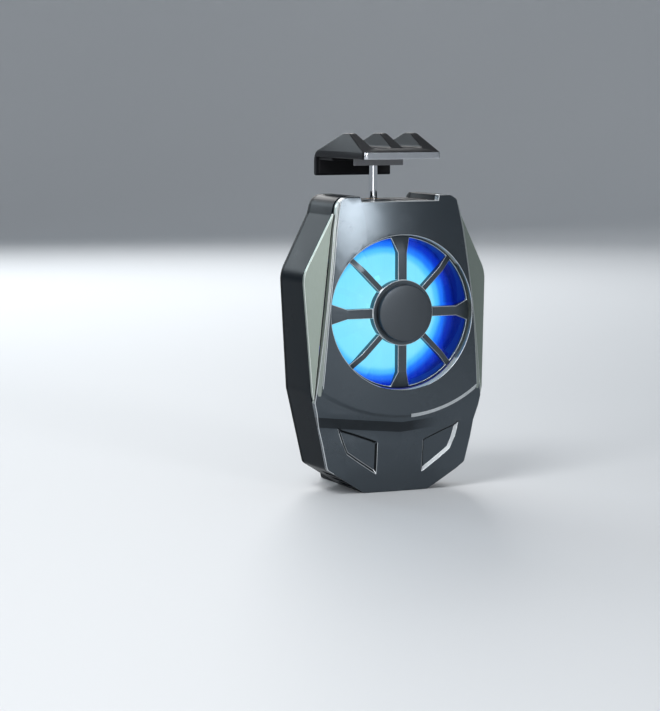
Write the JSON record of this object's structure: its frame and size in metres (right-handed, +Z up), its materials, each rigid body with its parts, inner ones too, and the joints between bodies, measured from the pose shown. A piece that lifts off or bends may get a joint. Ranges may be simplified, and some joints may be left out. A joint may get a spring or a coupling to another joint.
{
  "type": "phone cooling fan",
  "caption": "Clip-on phone cooler: angular casing with a lit fan behind a spoked grille, Peltier cold plate at the back, fixed lower jaw and a sprung sliding upper jaw.",
  "frame": {"origin": "on the surface that the cooler stands on, in the middle of its width, in the plane of the phone's back", "axes": "+Z up along the phone's width, +Y from the cold face into the phone, +X to the right as seen from the fan's side"},
  "size_m": [0.0498, 0.0339, 0.0897],
  "materials": {
    "cover_metal": "satin gunmetal",
    "grille_metal": "satin gunmetal",
    "panel_satin": "satin, faintly green silver",
    "shell_navy": "semi-gloss near-black navy",
    "jaw_charcoal": "satin charcoal",
    "grip_rubber": "matte black",
    "foot_grey": "matte grey",
    "bright_metal": "polished",
    "bare_steel": "plain",
    "bare_aluminium": "plain",
    "pad_silicone": "matte grey thermal pad",
    "ceramic": "matte white alumina",
    "lead_insulation": "matte",
    "foam": "closed-cell foam",
    "fan_frame_plastic": "satin",
    "impeller_clear": "translucent, lit from behind",
    "led_lens": "clear",
    "circuit_board": "solder mask",
    "component_black": "moulded",
    "copper_wire": "lacquered",
    "bronze": "sintered",
    "magnet": "dull"
  },
  "bodies": {
    "casing": {"front_cover": "cover_metal", "fan_grille": "grille_metal", "hub_cap": "grille_metal", "left_side_panel": "panel_satin", "right_side_panel": "panel_satin", "rear_shell": "shell_navy", "back_plate": "shell_navy", "contact_pad": "pad_silicone", "cold_plate": "bare_aluminium", "peltier_cold_ceramic": "ceramic", "peltier_hot_ceramic": "ceramic", "peltier_legs": "bare_steel", "peltier_leads": "lead_insulation", "insulation_frame": "foam", "heat_sink": "bare_aluminium", "fan_frame": "fan_frame_plastic", "bearing_sleeve": "bronze", "stator_core": "bare_steel", "stator_windings": "copper_wire", "motor_board": "circuit_board", "led_chips": "led_lens", "fan_lead": "lead_insulation", "control_board": "circuit_board", "board_components": "component_black", "usb_shell": "bare_steel", "usb_tongue": "component_black", "rod_bush": "bronze", "clamp_spring": "bare_steel", "lower_jaw": "jaw_charcoal", "lower_jaw_pad": "grip_rubber", "case_screws": "bare_steel", "heat_sink_screws": "bare_steel", "fan_screws": "bare_steel", "board_screws": "bare_steel", "lower_jaw_screws": "bare_steel"},
    "jaw": {"upper_jaw": "jaw_charcoal", "jaw_band": "bright_metal", "upper_jaw_pad": "grip_rubber", "jaw_foot": "foot_grey", "clamp_rod": "bright_metal", "rod_collar": "bare_steel", "jaw_screws": "bare_steel"},
    "rotor": {"impeller": "impeller_clear", "rotor_yoke": "bare_steel", "rotor_magnet": "magnet", "fan_shaft": "bright_metal", "shaft_clip": "bare_steel"}
  },
  "joints": [
    {"name": "jaw_slide", "type": "slide", "parent": "casing", "child": "jaw", "axis": [0, 0, 1], "range_m": [-0.008, 0.01], "stiffness_N_per_m": 100, "springref_m": -0.03, "deforming": ["clamp_spring"]},
    {"name": "fan_spin", "type": "hinge", "parent": "casing", "child": "rotor", "pos_m": [0, 0, 0.0454], "axis": [0, -1, 0], "continuous": true}
  ]
}
